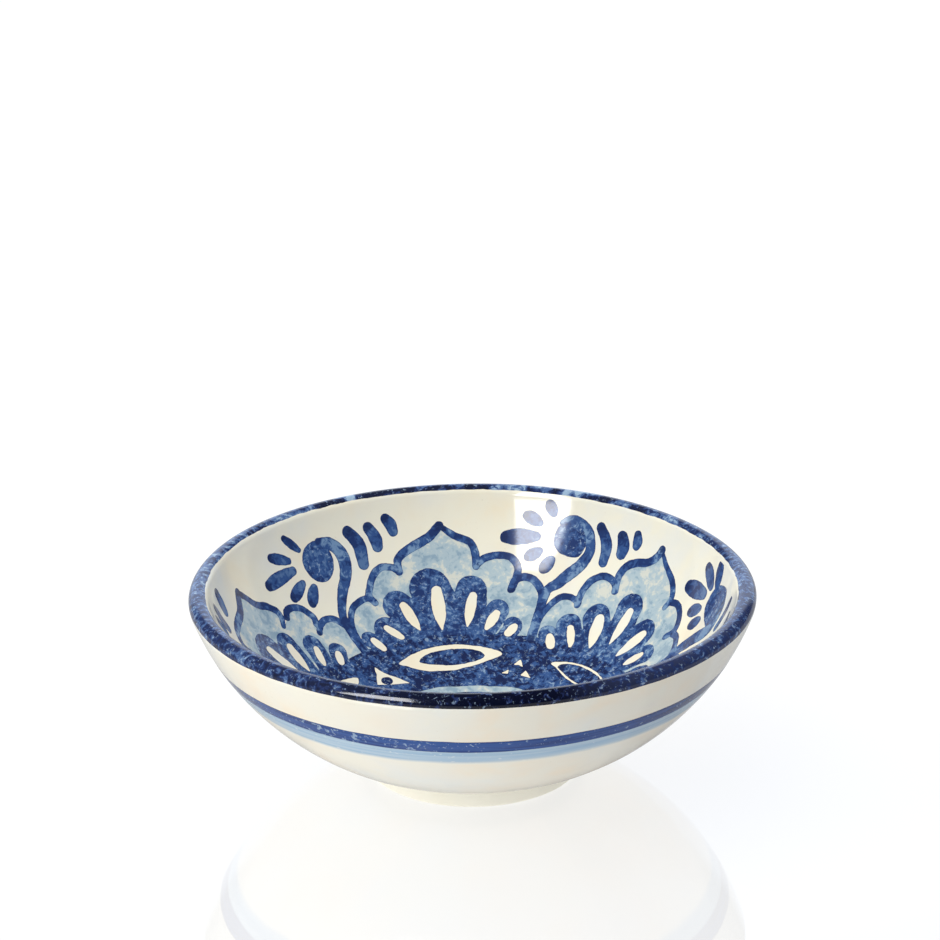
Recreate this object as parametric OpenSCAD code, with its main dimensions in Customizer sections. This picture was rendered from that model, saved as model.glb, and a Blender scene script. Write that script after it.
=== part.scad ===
/* [Bowl] */
// Diameter over the lip
rim_d = 250; // [230:1:300]
// Height from the table to the top of the lip
bowl_h = 88; // [80:1:100]
// Height of the inside floor above the table
floor_h = 9; // [8.5:0.5:12]
// Height of the lowest stretch of the outside curve above the table
under_h = 2.5; // [1.5:0.5:3]
// Radius of the flat middle of the floor
flat_r = 12; // [8:1:20]

/* [Lip] */
// Thickness of the rounded lip
lip_t = 8.8; // [7:0.2:10]
// Angle below level, round the middle of the lip, at which the painted band ends outside
band_end = 4; // [0:1:12]

/* [Foot ring] */
// Outer diameter of the foot ring
foot_d = 98; // [90:1:110]
// Width of the foot ring's bearing face
foot_w = 6; // [5:0.5:9]

/* [Glaze and paint] */
// Thickness of the cream glaze coats
glaze_t = 0.8; // [0.6:0.1:1]
// Thickness of the painted marks
paint_t = 0.25; // [0.2:0.05:0.4]
// Height of the top edge of the outside line
line_top = 64.9; // [60:0.5:70]
// Height of the bottom edge of the outside line
line_bottom = 58.2; // [55:0.5:59]
// Height of the bottom edge of the pale line below it
wash_bottom = 51.4; // [48:0.5:54]

/* [Painting] */
// Width of the cobalt line round each flower
line_w = 3.4; // [2.5:0.1:4]
// Outer edge of the painted disc in the middle, out of 150 parts of the way from the centre to the lip
centre_out = 44; // [40:1:45]
// Inner edge of the painted ground, in the same parts
ground_in = 48; // [46:1:52]
// Outer edge of the painted ground, in the same parts
ground_out = 79; // [77:1:80]

/* [Hidden] */

cobalt = "#26428a";
deep_cobalt = "#1b2358";
pale_blue = "#a8bed0";
cream = "#f0ebde";
clay = "#d9c3a0";

// Both walls are circular arcs that start level at the edge of the floor's flat middle. The lip is a
// round bead that touches both arcs, so the surface runs smoothly over it.
rim_r = rim_d / 2;
lip_r = lip_t / 2;
bead = [rim_r - lip_r, bowl_h - lip_r];
// Radius of an arc that starts level at height z0 and touches the bead, outside (k = -1) or inside (k = 1)
function wall_r(z0, k) = (pow(bead[0] - flat_r, 2) + pow(bead[1] - z0, 2) - lip_r * lip_r)
  / (2 * (bead[1] - z0 + k * lip_r));
inner_r = wall_r(floor_h, 1);
outer_r = wall_r(under_h, -1);
inner_z = floor_h + inner_r;
outer_z = under_h + outer_r;
// Directions from the bead's middle to the points where it touches the arcs
in_angle = atan2(inner_z - bead[1], flat_r - bead[0]);
out_angle = atan2(bead[1] - outer_z, bead[0] - flat_r);
// Depths of the layers below the painted surface
coat_d = paint_t;
clay_d = paint_t + glaze_t;
foot_r = foot_d / 2;
far = 2 * rim_r;

// Smooth circles
$fn = 180;

// Where a mark lies: its angle round the bowl, and its distance s from the centre along the inside
// surface, in parts of which there are 150 from the centre to the lip
reach = flat_r + inner_r * atan2(bead[0] - flat_r, inner_z - bead[1]) * PI / 180;
function along(s) = s * reach / 150;
function on_arc(d) = d < flat_r ? d : flat_r + inner_r * sin((d - flat_r) / inner_r * 180 / PI);
function plan_r(s) = on_arc(along(s));
function spot(a, s) = plan_r(s) * [cos(a), sin(a)];
// An offset of x along the rim and y towards it, from the spot at angle a and distance s
function near(a, s, x, y) = spot(a + x / plan_r(s) * 180 / PI, s + y);
// An oval brush mark of half width w and half length l, turned by tilt degrees
function oval(a, s, w, l, tilt = 0, n = 14) = [
  for (i = [0:n - 1]) let (t = 360 * i / n, x = w * cos(t), y = l * sin(t))
    near(a, s, x * cos(tilt) - y * sin(tilt), x * sin(tilt) + y * cos(tilt))
];
// A slot w degrees wide with pointed ends between two spots
function slot(q, w = 1.5) = [
  for (p = [[0, 0], [0.2, 0.8], [0.5, 1], [0.8, 0.7], [1, 0], [0.8, -0.7], [0.5, -1], [0.2, -0.8]])
    spot(q[0] + (q[2] - q[0]) * p[0] + w * p[1], q[1] + (q[3] - q[1]) * p[0])
];

// Where the flowers and the stems begin, just clear of the painted ground
edge_s = ground_out + 0.4;
// Angles of the flowers and of the scrolls between them, spaced by eye and so a little uneven
flower_at = [165.5, 98.5, 37, -21, -79, -137];
scroll_at = [194, 132, 66.5, 8, -50, -108];
// Edge of one flower: angle from its middle and distance, from the right foot over the tip to the left
edge = [
  [-28.5, edge_s], [-28.5, 96], [-27.5, 104], [-25.5, 108.5], [-23.2, 109.8], [-20.8, 108.2], [-20.2, 114],
  [-18, 118.8], [-15.2, 120.2], [-12.5, 119], [-10.8, 115.8], [-10.2, 122], [-8.4, 127.2], [-5, 130],
  [-2, 132.4], [0, 136.5], [2, 132.8], [5.6, 129], [9.6, 126], [12, 121.5], [12.8, 116.2], [15, 118.4],
  [18, 117.6], [20.4, 112.5], [21.8, 104.6], [24, 105.2], [26.8, 103], [28.8, 97], [29.5, edge_s]
];
heart_s = 95;
// Petals of one flower: angle from its middle, half its angular width, distance of the dome's top
petals = [
  [25.6, 3, 87], [19.4, 3, 93.5], [12.4, 3.8, 104], [2.6, 5.7, 113.5], [-7.8, 4.5, 109], [-15.6, 3.1, 97],
  [-22.6, 3.5, 89]
];
// Bare slots in the petals: angle and distance of the outer end, then of the inner end
slots = [
  [26, 84, 25, 80.5], [19.8, 90.5, 18.6, 81], [12.8, 99.5, 11, 82.5], [2.6, 107, 2.4, 83],
  [-8.2, 103, -6.6, 83], [-16, 93, -14.6, 81.5], [-23, 85.5, -21.8, 80.5]
];
// Dabs on the left of a scroll's head: angle from the scroll, distance, half width, half length, tilt
dabs = [
  [7, 140, 2.1, 6.6, -30], [12.2, 136.3, 2.8, 7.6, -58], [15, 127.6, 3.2, 10.5, -95],
  [11.2, 118.3, 3.3, 7, -120], [6.4, 113.2, 3, 5.6, -140]
];
// Leaves on its right, in the same order
leaves = [[-11.5, 129.5, 3.2, 11, -7], [-16.2, 133, 2.6, 7.8, -8], [-21, 137.3, 2.4, 5.4, -8]];

// Everything under an arc of radius r whose lowest, level stretch is flat_r wide
module under_arc(r, z) {
  translate([flat_r, z]) circle(r = r);
  translate([0, z - r]) square([flat_r, r]);
}

// The part of a section that belongs to the wall and not to the bead
module wall_zone() {
  polygon([
    [0, -1], [far, -1], bead + far * [cos(out_angle), sin(out_angle)], bead,
    bead + far * [cos(in_angle), sin(in_angle)]
  ]);
}

// The part of a section between two directions from the bead's middle
module bead_zone(a0, a1) {
  polygon([
    bead, bead + far * [cos(a0), sin(a0)], bead + far * [cos((a0 + a1) / 2), sin((a0 + a1) / 2)],
    bead + far * [cos(a1), sin(a1)]
  ]);
}

// The section of a layer between depths d0 and d1 under the inside of the wall
module inner_layer(d0, d1) {
  intersection() {
    wall_zone();
    translate([0, floor_h - d1]) square([far, bowl_h]);
    difference() {
      under_arc(inner_r + d1, inner_z);
      under_arc(inner_r + d0, inner_z);
    }
  }
}

// The same under the outside of the wall
module outer_layer(d0, d1) {
  intersection() {
    wall_zone();
    translate([foot_r, 0]) square([far, bowl_h]);
    difference() {
      under_arc(outer_r - d0, outer_z);
      under_arc(outer_r - d1, outer_z);
    }
  }
}

// The same over the lip, between two directions from the bead's middle
module lip_layer(d0, d1, a0, a1) {
  intersection() {
    bead_zone(a0, a1);
    translate(bead) difference() {
      circle(r = lip_r - d0);
      circle(r = lip_r - d1);
    }
  }
}

// A mark painted on the inside, drawn in plan by its children
module inner_mark() {
  intersection() {
    rotate_extrude() inner_layer(0, coat_d);
    linear_extrude(bowl_h) children();
  }
}

// A band painted round the outside between two heights
module outer_band(z0, z1) {
  rotate_extrude() intersection() {
    outer_layer(0, coat_d);
    translate([0, z0]) square([far, z1 - z0]);
  }
}

// A ring in plan between two distances along the surface
module plan_ring(s0, s1) {
  difference() {
    circle(r = plan_r(s1));
    circle(r = plan_r(s0));
  }
}

// A point of the flower's edge, taken in towards the flower's heart by w
function taken_in(p, w) = let (
  x = p[0] * plan_r(heart_s) * PI / 180,
  y = p[1] - heart_s,
  k = 1 - w / norm([x, y])
) [p[0] * k, max(heart_s + y * k, edge_s)];

// The area of one flower, taken in by w all round
module flower_shape(a, w) {
  polygon([for (p = edge) let (q = taken_in(p, w)) spot(a + q[0], q[1])]);
}

// One petal: a dome over a foot on the ground, grown by g degrees each way
module petal_shape(a, p, g = 0) {
  dome = 0.35 * (p[2] - ground_out) + 2;
  w = p[1] + g;
  polygon([
    spot(a + p[0] + w * 0.96, edge_s),
    for (t = [0:22.5:180]) spot(a + p[0] + w * cos(t), p[2] - dome + dome * sin(t)),
    spot(a + p[0] - w * 0.96, edge_s)
  ]);
}

// The petals of all the flowers, grown until they close up
module petal_mask() {
  for (a = flower_at, p = petals) petal_shape(a, p, 0.5);
}

// The almond left bare under each flower
module almond(a) {
  polygon([
    spot(a + 22, 68), spot(a + 12, 71.6), spot(a, 72.6), spot(a - 10, 71.6), spot(a - 20.5, 69),
    spot(a - 14, 64), spot(a - 5, 60), spot(a + 4, 59), spot(a + 13, 61.6)
  ]);
}

// The three-cornered star left bare under each scroll
module star(a) {
  polygon([
    spot(a + 1.5, 69), spot(a + 3.4, 64), spot(a + 7.5, 59.5), spot(a + 2, 57.6), spot(a - 8, 55.4),
    spot(a - 3, 60), spot(a - 1, 64)
  ]);
}

// The round head of one scroll
module head_shape(a) {
  polygon(oval(a + 0.8, 128, 8.6, 10, 0, 18));
}

// Its stem, which climbs from between two flowers and curls over the head
module stem_shape(a) {
  polygon([
    spot(a + 1.7, edge_s), spot(a + 1.7, 98), spot(a + 0.4, 105), spot(a - 1.8, 112), spot(a - 4.4, 118),
    spot(a - 5.2, 124), spot(a - 4.6, 130), spot(a - 3, 134), spot(a, 138), spot(a - 4, 138),
    spot(a - 7.4, 133.5), spot(a - 8.8, 127), spot(a - 8, 119), spot(a - 5.2, 111), spot(a - 2.6, 104),
    spot(a - 1.5, 98), spot(a - 1.5, edge_s)
  ]);
}

module clay_body() {
  color(clay) rotate_extrude() {
    intersection() {
      wall_zone();
      square([far, bowl_h]);
      difference() {
        under_arc(outer_r - clay_d, outer_z);
        under_arc(inner_r + clay_d, inner_z);
      }
    }
    translate(bead) circle(r = lip_r - clay_d);
  }
}

module foot_ring() {
  color(cream) rotate_extrude() difference() {
    translate([foot_r - foot_w, 0]) square([foot_w, bowl_h / 3]);
    under_arc(outer_r - clay_d, outer_z);
  }
}

module inner_glaze() {
  color(cream) rotate_extrude() {
    inner_layer(coat_d, clay_d);
    lip_layer(coat_d, clay_d, 90, in_angle);
  }
}

module outer_glaze() {
  color(cream) rotate_extrude() {
    outer_layer(coat_d, clay_d);
    lip_layer(coat_d, clay_d, out_angle, 90);
  }
}

module rim_band() {
  color(deep_cobalt) rotate_extrude() lip_layer(0, coat_d, -band_end, in_angle);
}

module outer_line() {
  color(cobalt) outer_band(line_bottom, line_top);
}

module outer_wash() {
  color(pale_blue) outer_band(wash_bottom, line_bottom);
}

module centre_disc() {
  color(cobalt) inner_mark() difference() {
    circle(r = plan_r(centre_out));
    for (k = [0:5]) polygon(oval(60 * k + 30, centre_out * 0.55, 4, 9));
  }
}

module centre_wash() {
  color(pale_blue) inner_mark() plan_ring(centre_out, ground_in);
}

module ground_ring() {
  color(cobalt) inner_mark() difference() {
    plan_ring(ground_in, ground_out);
    for (a = flower_at) almond(a);
    for (a = scroll_at) star(a);
  }
}

module petal_strokes() {
  color(cobalt) inner_mark() for (a = flower_at, i = [0:len(petals) - 1]) difference() {
    petal_shape(a, petals[i]);
    polygon(slot([a + slots[i][0], slots[i][1], a + slots[i][2], slots[i][3]]));
  }
}

module eye_spots() {
  color(deep_cobalt) inner_mark() for (a = flower_at) polygon(oval(a + 1.2, 66, 14.5, 4.2));
}

module star_dots() {
  color(deep_cobalt) inner_mark() for (a = scroll_at) polygon(oval(a + 0.8, 59.8, 2.6, 2.6));
}

module flower_outline() {
  color(cobalt) inner_mark() difference() {
    for (a = flower_at) difference() {
      flower_shape(a, 0);
      flower_shape(a, line_w);
    }
    petal_mask();
    for (a = scroll_at) stem_shape(a);
  }
}

module flower_wash() {
  color(pale_blue) inner_mark() difference() {
    for (a = flower_at) flower_shape(a, line_w);
    petal_mask();
    for (a = scroll_at) stem_shape(a);
  }
}

module scroll_heads() {
  color(deep_cobalt) inner_mark() difference() {
    for (a = scroll_at) head_shape(a);
    for (a = scroll_at) stem_shape(a);
  }
}

module scroll_stems() {
  color(cobalt) inner_mark() for (a = scroll_at) stem_shape(a);
}

module petal_dabs() {
  color(cobalt) inner_mark() for (a = scroll_at, p = dabs) polygon(oval(a + p[0], p[1], p[2], p[3], p[4]));
}

module leaf_strokes() {
  color(cobalt) inner_mark() for (a = scroll_at, p = leaves) polygon(oval(a + p[0], p[1], p[2], p[3], p[4]));
}

clay_body();
foot_ring();
inner_glaze();
outer_glaze();
rim_band();
outer_line();
outer_wash();
centre_disc();
centre_wash();
ground_ring();
eye_spots();
star_dots();
petal_strokes();
flower_outline();
flower_wash();
scroll_stems();
scroll_heads();
petal_dabs();
leaf_strokes();
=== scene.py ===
"""A footed earthenware bowl, glazed cream and painted by hand in cobalt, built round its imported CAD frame.

Lengths are in millimetres until a mesh is made. A place on the painted inside is (angle, s): the angle round
the bowl in degrees from +X, and s along the surface, from 0 at the centre to LIP_S where the lip begins.
"""
import math

import bpy
import numpy as np
from mathutils import Matrix, Vector


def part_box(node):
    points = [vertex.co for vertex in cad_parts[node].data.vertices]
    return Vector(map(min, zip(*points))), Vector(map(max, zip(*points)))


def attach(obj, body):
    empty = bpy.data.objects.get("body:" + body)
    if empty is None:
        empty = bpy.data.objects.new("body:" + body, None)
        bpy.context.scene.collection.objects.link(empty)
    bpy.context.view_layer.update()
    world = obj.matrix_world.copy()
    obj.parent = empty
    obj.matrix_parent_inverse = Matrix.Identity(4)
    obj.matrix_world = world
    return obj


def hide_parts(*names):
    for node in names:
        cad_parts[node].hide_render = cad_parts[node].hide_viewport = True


MM = 0.001

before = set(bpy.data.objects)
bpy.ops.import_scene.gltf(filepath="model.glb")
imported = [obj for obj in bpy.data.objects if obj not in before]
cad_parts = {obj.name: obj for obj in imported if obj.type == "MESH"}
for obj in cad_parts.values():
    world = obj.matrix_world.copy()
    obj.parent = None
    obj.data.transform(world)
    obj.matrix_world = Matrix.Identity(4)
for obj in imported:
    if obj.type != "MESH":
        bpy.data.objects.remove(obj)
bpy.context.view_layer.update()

# ---------------- the bowl's sizes: those chosen here, then those from the frame

# Height of the skin at the centre, inside and underneath, and the radius of its level middle
FLOOR_H = 9.0
UNDER_H = 2.5
FLAT_R = 12.0
# Thickness of the lip, the glaze and the paint, and the width of the foot ring
LIP_T = 8.8
GLAZE_T = 0.8
PAINT_T = 0.25
FOOT_W = 6.0
LIP_S = 150


def frame_box(node):
    """The low and the high corner of a CAD node, in mm."""
    return [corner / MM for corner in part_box(node)]


rim_low, rim_high = frame_box("rim_band")
foot_low, foot_high = frame_box("foot_ring")
line_low, line_high = frame_box("outer_line")
wash_low = frame_box("outer_wash")[0]

RIM_R = (rim_high.x - rim_low.x) / 2
BOWL_H = rim_high.z
FOOT_R = (foot_high.x - foot_low.x) / 2
LIP_R = LIP_T / 2
BEAD_R = RIM_R - LIP_R
BEAD_Z = BOWL_H - LIP_R
CLAY_D = PAINT_T + GLAZE_T


def wall_radius(z0, k):
    """Radius of the arc that starts level at height z0 and meets the lip, inside (k = 1) or outside (-1)."""
    return ((BEAD_R - FLAT_R) ** 2 + (BEAD_Z - z0) ** 2 - LIP_R ** 2) / (2 * (BEAD_Z - z0 + k * LIP_R))


INNER_R = wall_radius(FLOOR_H, 1)
OUTER_R = wall_radius(UNDER_H, -1)
INNER_Z = FLOOR_H + INNER_R
OUTER_Z = UNDER_H + OUTER_R
INNER_PHI = math.atan2(BEAD_R - FLAT_R, INNER_Z - BEAD_Z)
OUTER_PHI = math.atan2(BEAD_R - FLAT_R, OUTER_Z - BEAD_Z)
# The skin's length from the centre: to where the lip begins, and to where it ends outside
LIP_START = FLAT_R + INNER_R * INNER_PHI
LIP_TURN = math.pi + INNER_PHI - OUTER_PHI
LIP_END = LIP_START + LIP_R * LIP_TURN
# Millimetres of skin to one step of s
PARTS = LIP_START / LIP_S


def section(t):
    """Radius, height and the two parts of the normal of the bowl's skin, at length t from the centre."""
    t = np.asarray(t, float)
    inner = np.clip((t - FLAT_R) / INNER_R, 0, INNER_PHI)
    bead = math.pi / 2 + INNER_PHI - np.clip((t - LIP_START) / LIP_R, 0, LIP_TURN)
    outer = OUTER_PHI - np.maximum(t - LIP_END, 0) / OUTER_R
    parts = [t < FLAT_R, t < LIP_START, t < LIP_END]
    nr = np.select(parts[1:], [-np.sin(inner), np.cos(bead)], np.sin(outer))
    nz = np.select(parts[1:], [np.cos(inner), np.sin(bead)], -np.cos(outer))
    r = np.select(parts, [t, FLAT_R - INNER_R * nr, BEAD_R + LIP_R * nr], FLAT_R + OUTER_R * nr)
    z = np.select(parts, [FLOOR_H, INNER_Z - INNER_R * nz, BEAD_Z + LIP_R * nz], OUTER_Z + OUTER_R * nz)
    return r, z, nr, nz


def outside_length(z):
    """The length t at which the outside of the wall is at height z."""
    return LIP_END + OUTER_R * (OUTER_PHI - math.acos((OUTER_Z - z) / OUTER_R))


# A hand made bowl's unevenness, as waves: the size of each at the rim in mm, its count and its phase
WAVES_OUT = [(0.22, 2, -0.6), (0.12, 3, 1.1)]
WAVES_UP = [(0.14, 2, 2.0), (0.08, 5, 0.0)]


def handmade(angle, r, z):
    """The unevenness, the same for every layer: new radius and height."""
    share = (r / RIM_R) ** 2
    out, up = (sum(size * np.cos(count * np.radians(angle) + phase) for size, count, phase in waves)
               for waves in (WAVES_OUT, WAVES_UP))
    return r + share * out, z + share * up


def ripple(angle, t):
    """Height of the glaze's faint waves over the skin, in mm."""
    a = np.radians(angle)
    return (0.022 * np.sin(11 * a + 0.09 * t + 1.3 * np.sin(2 * a)) * np.cos(0.16 * t + 2 * np.sin(3 * a))
            + 0.016 * np.sin(0.31 * t + 1.7 * np.sin(4 * a + 0.6)))


def round_axis(angle, r, z):
    """A radius and height turned round the axis by an angle in degrees: x, y and z."""
    a = np.radians(angle)
    return np.stack([r * np.cos(a), r * np.sin(a), z], -1)


def skin_point(angle, t, height=0.0):
    """A point on the skin, or height over it, in mm."""
    r, z, nr, nz = section(t)
    lift = height + ripple(angle, t) * np.clip(t / 30, 0, 1)
    return round_axis(angle, *handmade(angle, r + nr * lift, z + nz * lift))


def skin_normal(angle, t):
    """The skin's normal, from two short steps along it."""
    step = 0.4
    t = np.maximum(t, 2 * step)
    wide = np.degrees(step / np.maximum(section(t)[0], 1.0))
    across = skin_point(angle + wide, t) - skin_point(angle - wide, t)
    along = skin_point(angle, t + step) - skin_point(angle, t - step)
    normal = np.cross(along, across)
    return normal / np.linalg.norm(normal, axis=-1, keepdims=True)


# ---------------- noise and meshes

class Noise:
    """Smooth seeded noise on the plane, from -1 to 1."""

    SIZE = 257

    def __init__(self, seed):
        self.grid = np.random.default_rng(seed).uniform(-1, 1, (self.SIZE, self.SIZE))

    def __call__(self, x, y, scale):
        x, y = np.asarray(x, float) / scale, np.asarray(y, float) / scale
        i, j = np.floor(x).astype(int), np.floor(y).astype(int)
        fx, fy = (f * f * (3 - 2 * f) for f in (x - i, y - j))
        g, n = self.grid, self.SIZE
        low = g[j % n, i % n] * (1 - fx) + g[j % n, (i + 1) % n] * fx
        high = g[(j + 1) % n, i % n] * (1 - fx) + g[(j + 1) % n, (i + 1) % n] * fx
        return low * (1 - fy) + high * fy


def add_object(name, data):
    """An object in the scene."""
    thing = bpy.data.objects.new(name, data)
    bpy.context.scene.collection.objects.link(thing)
    return thing


def make_mesh(name, points, faces):
    """A mesh object from points in mm."""
    mesh = bpy.data.meshes.new(name)
    mesh.from_pydata((np.asarray(points) * MM).tolist(), [], faces)
    mesh.validate()
    mesh.shade_smooth()
    return add_object(name, mesh)


def join_rings(rings):
    """Faces from each ring of point numbers to the next, and back to the first; a pole repeats its number."""
    faces = []
    for low, high in zip(rings, rings[1:] + rings[:1]):
        for i in range(len(low)):
            j = (i + 1) % len(low)
            face = list(dict.fromkeys([low[i], low[j], high[j], high[i]]))
            if len(face) > 2:
                faces.append(face)
    return faces


def turned_solid(name, rings, segments, crease):
    """A closed solid from rings of points; a ring with one point is a pole on the axis."""
    points, numbers = [], []
    for ring in rings:
        first = len(points)
        numbers.append([first] * segments if len(ring) == 1 else list(range(first, first + segments)))
        points.extend(ring)
    piece = make_mesh(name, points, join_rings(numbers))
    piece.data.set_sharp_from_angle(angle=math.radians(crease))
    return piece


def lathe(name, outline, segments=480):
    """A turned solid. The outline is (radius, height) points in mm, closed by the axis or on itself."""
    angle = np.arange(segments) * 360 / segments
    rings = [round_axis(angle, *handmade(angle, r, z)).tolist() if r > 1e-6 else [(0.0, 0.0, z)]
             for r, z in outline]
    return turned_solid(name, rings, segments, 35)


def coat(name, t0, t1, rows, segments=720):
    """A closed layer of glaze, from length t0 to length t1 of the skin and as deep as the clay."""
    angle = np.arange(segments) * 360 / segments
    lengths = np.linspace(t0, t1, rows)
    rings = [skin_point(angle, np.full(segments, t), height).tolist() if t > 1e-9
             else [(0.0, 0.0, FLOOR_H + height)]
             for height, row in ((-CLAY_D, lengths), (0.0, lengths[::-1])) for t in row]
    return turned_solid(name, rings, segments, 40)


# ---------------- brush marks

# The step and the reach of the grid that marks are drawn on, in s
PITCH = 0.5
SPAN = LIP_S - 1.0
# How far under the skin the paint's underside lies, and how wide its rounded edge is
SINK = 0.15
SOFT_EDGE = 0.7
fine = Noise(3)
broad = Noise(4)


def lay_paint(name, angle, t, depth, height, faces, values):
    """Paint on the glaze. It swells from its edge, depth mm away. Its underside lies just under the skin."""
    swell = np.clip(depth / SOFT_EDGE, 0, 1)
    top = skin_point(angle, t, height * swell * (2 - swell))
    normal = skin_normal(angle, t)
    piece = make_mesh(name, np.vstack([top, skin_point(angle, t, -SINK)]), faces)
    piece.data.normals_split_custom_set_from_vertices(np.vstack([normal, -normal]).tolist())
    for key, value in {"edge": depth, **values}.items():
        layer = piece.data.attributes.new(key, "FLOAT", "POINT")
        layer.data.foreach_set("value", np.tile(value, 2).astype(np.float32))
    return piece


class Layer:
    """One kind of paint on the inside: a flat grid of distances inside the edges of its marks, in mm."""

    def __init__(self, height, rough=0.22):
        self.half = int(SPAN / PITCH) + 2
        line = np.arange(-self.half, self.half + 1) * PITCH
        self.u, self.v = np.meshgrid(line, line)
        self.s = np.hypot(self.u, self.v)
        self.angle = np.degrees(np.arctan2(self.v, self.u))
        self.scale = np.radians(1) * section(self.s * PARTS)[0]
        self.inside = np.full(self.u.shape, -9.0)
        self.along = np.zeros(self.u.shape)
        self.tone = np.zeros(self.u.shape)
        self.height = height
        self.rough = rough

    def window(self, path, reach, middle):
        """The part of the grid within reach of a path, and its angles, unwrapped round the middle one."""
        a = np.radians(path[:, 0])
        u, v = path[:, 1] * np.cos(a), path[:, 1] * np.sin(a)
        cells = [int(math.floor(x / PITCH)) + self.half
                 for x in (v.min() - reach, v.max() + reach, u.min() - reach, u.max() + reach)]
        j0, j1, i0, i1 = (min(max(c, 0), 2 * self.half + 1) for c in cells)
        where = slice(j0, j1 + 1), slice(i0, i1 + 1)
        return where, (self.angle[where] - middle + 180) % 360 - 180 + middle

    def nearest(self, where, angle, start, end):
        """The nearest place on a straight piece of a path, as a share of its length, and how far it is."""
        s, scale = self.s[where], self.scale[where]
        x, y = (start[0] - angle) * scale, start[1] - s
        dx, dy = (end[0] - start[0]) * scale, end[1] - start[1]
        share = np.clip(-(x * dx + y * dy) / (dx * dx + dy * dy + 1e-9), 0, 1)
        return share, np.hypot(x + share * dx, y + share * dy)

    def put(self, mark, tone):
        """Adds a mark wherever it reaches further inside than what is there."""
        where, inside, along = mark
        better = inside > self.inside[where]
        for grid, values in ((self.inside, inside), (self.along, along), (self.tone, tone)):
            grid[where] = np.where(better, values, grid[where])

    def stroke(self, points, widths):
        """The mark of a brush through (angle, s) points, with its half width, or one for each point."""
        path = smooth_path(points, np.broadcast_to(widths, len(points)))
        where, angle = self.window(path, np.max(widths) * 1.6 + 3, path[0, 0])
        best = np.full(angle.shape, -9.0)
        along = np.zeros(angle.shape)
        for k in range(len(path) - 1):
            share, distance = self.nearest(where, angle, path[k], path[k + 1])
            inside = path[k, 2] + share * (path[k + 1, 2] - path[k, 2]) - distance
            better = inside > best
            best = np.where(better, inside, best)
            along = np.where(better, (k + share) / (len(path) - 1), along)
        return where, best, along

    def area(self, points, smooth=True):
        """The mark of a filled shape, rounded through its corners or straight between them."""
        corners = list(points) + [points[0]]
        path = smooth_path(corners, [1] * len(corners), closed=True) if smooth else np.array(corners)
        where, angle = self.window(path, 4, path[:, 0].mean())
        s = self.s[where]
        near = np.full(s.shape, 99.0)
        odd = np.zeros(s.shape, bool)
        for start, end in zip(path[:-1], path[1:]):
            near = np.minimum(near, self.nearest(where, angle, start, end)[1])
            (a1, s1), (a2, s2) = start[:2], end[:2]
            if s1 != s2:
                odd ^= ((s1 > s) != (s2 > s)) & (angle < a1 + (s - s1) * (a2 - a1) / (s2 - s1))
        return where, np.where(odd, near, -near), 0.5

    def cut(self, mark):
        """Takes a mark away."""
        where, inside, _ = mark
        self.inside[where] = np.minimum(self.inside[where], -inside)

    def keep(self, inside):
        """Takes away all that isn't inside."""
        self.inside = np.minimum(self.inside, inside)

    def build(self, name):
        """The layer as one closed mesh that lies on the glaze."""
        edge = self.inside + self.rough * (0.6 * fine(self.u, self.v, 1.3) + 0.8 * broad(self.u, self.v, 4.0))
        return contour(name, self, np.minimum(edge, SPAN - self.s))


def smooth_path(points, widths, closed=False, steps=6):
    """Catmull-Rom points through (angle, s) with the width carried along."""
    p = np.array([(a, s, w) for (a, s), w in zip(points, widths)], float)
    if len(p) == 2:
        return p
    before = p[-2] if closed else 2 * p[0] - p[1]
    after = p[1] if closed else 2 * p[-1] - p[-2]
    q = np.vstack([before, p, after])
    out = []
    for a, b, c, d in zip(q, q[1:], q[2:], q[3:]):
        for t in np.arange(steps) / steps:
            out.append(0.5 * (2 * b + (c - a) * t + (2 * a - 5 * b + 4 * c - d) * t ** 2
                              + (3 * b - a - 3 * c + d) * t ** 3))
    return np.vstack([out, p[-1]])


# Corners 0 to 3 of a cell run anticlockwise; 4 to 7 are the crossings on the sides after them
CELL_FACES = {
    1: [(0, 4, 7)], 2: [(1, 5, 4)], 3: [(0, 1, 5, 7)], 4: [(2, 6, 5)], 5: [(0, 4, 7), (2, 6, 5)],
    6: [(1, 2, 6, 4)], 7: [(0, 1, 2, 6, 7)], 8: [(3, 7, 6)], 9: [(0, 4, 6, 3)],
    10: [(1, 5, 4), (3, 7, 6)], 11: [(0, 1, 5, 6, 3)], 12: [(2, 3, 7, 5)], 13: [(0, 4, 5, 2, 3)],
    14: [(1, 2, 3, 7, 4)], 15: [(0, 1, 2, 3)]
}


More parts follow.
